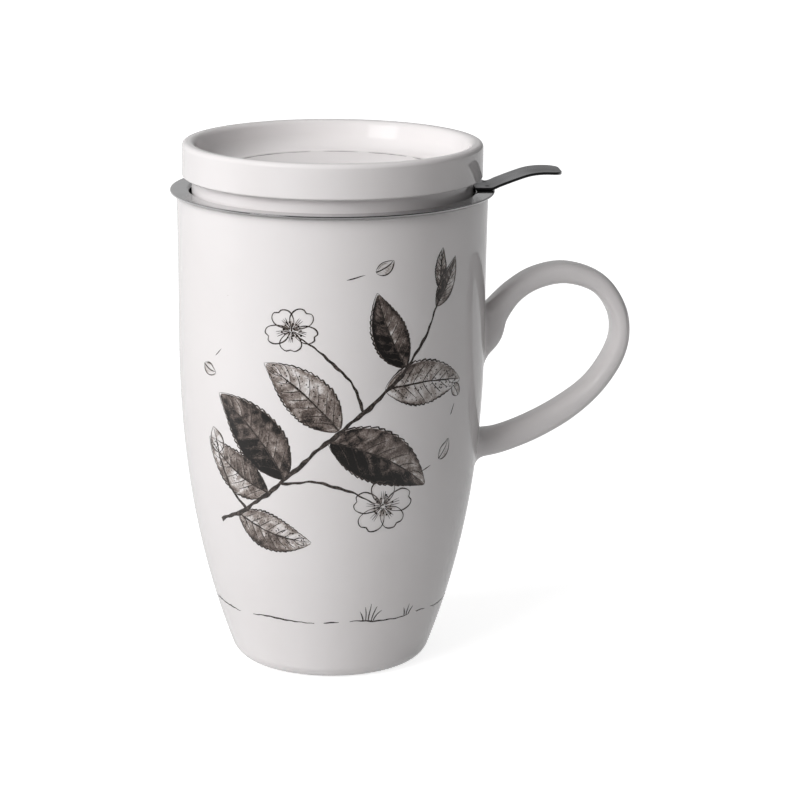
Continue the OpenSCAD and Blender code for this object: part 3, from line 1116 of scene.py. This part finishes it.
def blossom(lines, washes, dots, centre, radius, turn, squash=0.86):
    """Five petals and a tuft of stamens; the petals' own white hides what is drawn behind them."""
    middle = Vector(centre)
    shares = (0.05, 0.4, 0.7, 0.9, 1.0)

    def ink(share, p):
        near = smooth(1 - (p - middle).length / (radius * 0.62))
        return 0.34 * near + (0.13 if share == 0.9 else 0.02)

    for k in range(5):
        size = radius * uniform(0.93, 1.05)
        outline = petal(centre, size, turn + 72 * k + uniform(-5, 5), squash)
        heart = sum(outline, Vector((0, 0))) / len(outline)
        rows = [[heart.lerp(p, share) for share in shares] for p in outline]
        washes.flake(rows, [[ink(share, p) for share, p in zip(shares, row)] for row in rows])
        lines.stroke(outline, 0.34, start=0.5, end=0.4, shake=0.12)
        tip = outline[len(outline) // 2]
        for lean in (-0.16, 0.0, 0.15):
            side = Vector((-(tip - middle).y, (tip - middle).x)) * lean
            path = [middle.lerp(tip + side, 0.30 + 0.34 * i / 6) for i in range(7)]
            lines.stroke(path, 0.17, start=0.8, end=0.3, shake=0.05)
    for k in range(17):
        a = radians(turn + 360 / 17 * k + uniform(-7, 7))
        reach = radius * uniform(0.26, 0.42)
        tip = middle + Vector((reach * cos(a), reach * sin(a) * squash))
        path = [middle.lerp(tip, 0.25 + 0.75 * i / 5) for i in range(6)]
        lines.stroke(path, 0.2, start=0.8, end=0.8, shake=0.05)
        dots.dot(tip.x, tip.y, uniform(0.24, 0.36))
    for _ in range(7):
        x, y = middle.x + uniform(-0.7, 0.7), middle.y + uniform(-0.6, 0.6)
        dots.dot(x, y, uniform(0.15, 0.3))


washes = Print(on_wall, 0.020)
lines = Print(on_wall, 0.042)
dots = Print(on_wall, 0.056)

TWIG = [(-38, 47), (-27, 52), (-15, 61), (-3, 72), (9, 82), (20, 92), (28, 103), (33, 114)]
SIDE_TWIGS = [
    [(-15, 61), (-4, 62), (6, 59), (13, 55.5)],
    [(9, 82), (5, 91), (-2, 98), (-9, 103)],
    [(-27, 52), (-33, 59), (-36, 67)],
]
# Base, direction, length, width, bend, the washes of the left and right halves, and the dots on it
LEAVES = [
    ((-13.5, 62.5), 118, 31, 14.5, 32, 1.0, 0.72, 0),
    ((-19, 58), 163, 25, 11.5, -30, 0.42, 0.62, 90),
    ((-1, 74), -12, 34, 14.5, -28, 0.66, 1.0, 0),
    ((2, 77), 128, 28, 12.5, 22, 0.56, 0.40, 110),
    ((15, 88), 10, 27, 12.0, -22, 0.36, 0.26, 120),
    ((21, 94), 122, 23, 9.8, -20, 0.92, 0.68, 0),
    ((31, 110), 48, 15, 5.4, 25, 0.6, 0.4, 0),
    ((33, 114), 98, 12, 4.0, -18, 0.35, 0.65, 0),
    ((-30, 50.5), -28, 25, 10.5, 26, 0.32, 0.50, 80),
]
for base, angle, length, width, bend, left, right, spots in LEAVES:
    leaf = Leaf(base, angle, length, width, bend)
    leaf.wash(washes, left, right)
    leaf.veins(lines)
    leaf.outline(lines)
    leaf.stipple(dots, spots)
for twig, width in [(TWIG, 1.15)] + [(twig, 0.75) for twig in SIDE_TWIGS]:
    path = curve_through(twig)
    lines.stroke(path, width, start=1.0, end=0.4, shake=0.25)
blossom(lines, washes, dots, (15.5, 54.5), 9.2, 20)
blossom(lines, washes, dots, (-11, 105), 7.6, 55, 0.8)

# A bud, petals that the wind takes, and a few touches of the pen
LOOSE_PETALS = [((34, 66), 35, 6.5), ((-41, 92), -40, 5.5), ((12, 121), 12, 6.0),
                ((41, 83), 110, 5.0)]
TOUCHES = [((27, 63), (31, 64.6)), ((24, 61), (25.5, 61.8)), ((-36, 95), (-33.5, 97.2)),
           ((4, 119), (9, 120.4)), ((38, 78), (39.5, 81))]
bud = Leaf((-36, 67), 98, 7.5, 5.4, 14)
bud.wash(washes, 0.12, 0.30)
bud.outline(lines, teeth=1, width=0.36)
for base, angle, length in LOOSE_PETALS:
    drift = Leaf(base, angle, length, 3.4, 40)
    drift.wash(washes, 0.10, 0.22)
    drift.outline(lines, teeth=1, width=0.28)
for start, end in TOUCHES:
    lines.stroke([Vector(start).lerp(Vector(end), t) for t in evenly(5)], 0.26, shake=0.08)

# The ground: one thin line, lifted now and then, with a tuft of grass
GROUND = 19.0
GROUND_LINES = [(-59, -38), (-31, -6), (-2.5, 3), (7, 31), (35, 40), (44, 61), (70, 96), (101, 104),
                (-118, -92), (-86, -66)]
GRASS = [(12, -1.6, 3.2), (13, -0.6, 4.6), (14, 0.5, 5.4), (15.2, 1.7, 4.4), (16, 2.8, 3.0),
         (29, -0.8, 2.6), (30, 0.5, 3.4), (31, 1.5, 2.4)]
for start, end in GROUND_LINES:
    count = max(4, int(abs(end - start) / 0.8))
    path = [(x, GROUND + 0.35 * sin(0.21 * x)) for x in evenly(count, start, end)]
    lines.stroke(path, 0.40, start=0.4, end=0.3, shake=0.16)
for root, lean, height in GRASS:
    path = [(root + lean * t ** 1.7, GROUND + 0.1 + height * t) for t in evenly(8)]
    lines.stroke(path, 0.34, start=1.0, end=0.15, shake=0.08)

washes.done("sprig_washes", "mug", wash_ink)
lines.done("sprig_lines", "mug", line_ink)
dots.done("sprig_dots", "mug", line_ink)

# The ring drawn on the dish's floor: its radius, half its width, and its arcs in degrees
RING_R = 30.7
RING_HALF = 0.46
RING_ARCS = [(-168, -121), (-115, -98), (-92, -30), (-24, -18), (-11, 52), (60, 78), (83, 131),
             (136, 160), (166, 185)]
ring = Print(on_dish, 0.02)
for start, end in RING_ARCS:
    count = abs(end - start) * 2 // 3
    rows = []
    breath = wander()
    for i, a in enumerate(evenly(count, start, end)):
        half = RING_HALF * (1 + 0.4 * breath(i)) * min(1.0, 0.3 + i * 0.3, 0.3 + (count - i) * 0.3)
        r = RING_R + 0.12 * breath(i * 0.23)
        rows.append([(a, r - half), (a, r + half)])
    ring.flake(rows)
ring.done("dish_ring", "lid", line_ink)


# ---- finish

LAMPS_AIM = Vector((0, 0, 0.08))
GLINT_AHEAD = 0.005
GLINT_THROWN = 0.65
GLINT_CORE = 0.45


def aimed_lamp(name, light, back, away):
    lamp = new_object(name, light)
    lamp.location = LAMPS_AIM + back * away
    lamp.rotation_mode = "QUATERNION"
    lamp.rotation_quaternion = (-back).to_track_quat("-Z", "Y")
    return lamp


def softbox(name, azimuth, elevation, away, width, height, level, mirrored):
    """An area light aimed at the mug, with its level on a surface facing it.

    Glaze and steel mirror only its core, at a share of its brightness.
    """
    light = bpy.data.lights.new(name, "AREA")
    light.shape = "RECTANGLE"
    light.size, light.size_y = width, height
    light.energy = level * (pi * away) ** 2
    a, e = radians(azimuth), radians(elevation)
    back = Vector((sin(a) * cos(e), -cos(a) * cos(e), sin(e)))
    small = light.copy()
    small.size, small.size_y = width * GLINT_CORE, height * GLINT_CORE
    small.energy = light.energy * GLINT_CORE ** 2
    glow = Tree(small)
    strength = glow.choose(glow.thrown(), mirrored, GLINT_THROWN / GLINT_CORE ** 2)
    glow.feed(glow.tree.nodes["Emission"].inputs["Strength"], strength)
    aimed_lamp(name, light, back, away).visible_glossy = False
    aimed_lamp(name + "_glint", small, back, away - GLINT_AHEAD).visible_diffuse = False


softbox("key_softbox", -56, 34, 1.2, 1.08, 0.85, 0.955, mirrored=0.5)


def studio_world():
    """White behind the mug, greyer where mirrored, with a dim fill from the left, front and above.

    What steel throws on to a dull surface comes from a world that is bright at the front and left.
    """
    world = bpy.data.worlds.new("studio")
    bpy.context.scene.world = world
    nodes = Tree(world)
    background = nodes.tree.nodes["Background"]
    background.inputs["Color"].default_value = (1, 1, 1, 1)
    x, y, z = nodes.parts(nodes.add("TexCoord").outputs["Generated"])
    fill = nodes.plus(nodes.range(x, -0.6, 0.7, 0.1, 0.02), nodes.range(z, 0.5, 1.0, 0.0, 0.38))
    fill = nodes.plus(fill, nodes.range(y, -0.9, 0.1, 0.08, 0.0))
    mirrored = nodes.range(x, -0.6, 0.6, 0.85, 0.25)
    mirrored = nodes.times(mirrored, nodes.range(y, -0.5, 0.5, 0.15, 1.0))
    mirrored = nodes.times(mirrored, nodes.range(z, 0.1, 0.5, 1.0, 0.6))
    thrown = nodes.times(nodes.range(x, -0.2, 0.35, 1.5, 0.0), nodes.range(y, -0.7, 0.1, 1.0, 0.4))
    mirrored = nodes.choose(nodes.thrown(), mirrored, thrown)
    shown = nodes.math("MAXIMUM", nodes.add("LightPath").outputs["Is Camera Ray"], mirrored)
    nodes.feed(background.inputs["Strength"], nodes.choose(nodes.seen(), fill, shown))


def studio_floor():
    """A white floor that keeps a faint shadow of the mug."""
    half = 3.0
    mesh = bpy.data.meshes.new("floor")
    corners = [(-half, -half, 0), (half, -half, 0), (half, half, 0), (-half, half, 0)]
    mesh.from_pydata(corners, [], [(0, 1, 2, 3)])
    floor = new_object("floor", mesh)
    floor.location.z = -0.02 * MM
    nodes = Nodes("floor_paint", Roughness=0.9)
    nodes.set("Specular IOR Level", 0.0)
    glow = nodes.add("Emission")
    x, y, _ = nodes.parts(nodes.place)
    away = nodes.axis_distance(x, y)
    mirrored = nodes.add("LightPath").outputs["Is Glossy Ray"]
    paint = nodes.blend(nodes.range(away, 0.12, 0.6), (0.72, 0.72, 0.72), (0.45, 0.45, 0.45))
    # Mirrored rays see the floor darker, most of all in front of the mug: painted shade in what
    # glaze and steel reflect.
    nodes.set("Base Color", nodes.blend(nodes.times(mirrored, 0.7), paint, (0.0, 0.0, 0.0)))
    shown = nodes.times(nodes.range(away, 0.1, 0.7, 0.82, 1.0), nodes.seen())
    kept = nodes.times(nodes.range(x, -0.3, 0.3, 0.85, 0.68), nodes.range(y, -0.3, 0.05, 0.08, 1.0))
    shade = nodes.times(mirrored, nodes.math("SUBTRACT", 1.0, kept))
    nodes.feed(glow.inputs["Strength"], nodes.times(shown, nodes.math("SUBTRACT", 1.0, shade)))
    both = nodes.add("AddShader")
    nodes.feed(both.inputs[0], nodes.shader.outputs[0])
    nodes.feed(both.inputs[1], glow.outputs[0])
    nodes.feed(nodes.tree.nodes["Material Output"].inputs["Surface"], both.outputs[0])
    mesh.materials.append(nodes.material)


def photo_camera():
    """The photograph's camera; its shift puts its axis left of the picture's middle."""
    side_px = 800
    focal_px = 2998.4
    axis_px = 331.5
    away, up = 0.8357, 0.28037
    pitch, roll = radians(13.796), radians(0.25)
    data = bpy.data.cameras.new("camera")
    data.sensor_width = 36
    data.lens = focal_px / side_px * data.sensor_width
    data.shift_x = 0.5 - axis_px / side_px
    data.clip_start, data.clip_end = 0.05, 20
    camera = new_object("camera", data)
    place = Matrix.Translation((-away * sin(TURN), -away * cos(TURN), up))
    turn, tilt = Matrix.Rotation(-TURN, 4, "Z"), Matrix.Rotation(pi / 2 - pitch, 4, "X")
    camera.matrix_world = place @ (turn @ tilt @ Matrix.Rotation(roll, 4, "Z"))
    bpy.context.scene.camera = camera


studio_world()
studio_floor()
photo_camera()
bpy.context.scene.view_settings.view_transform = "Standard"
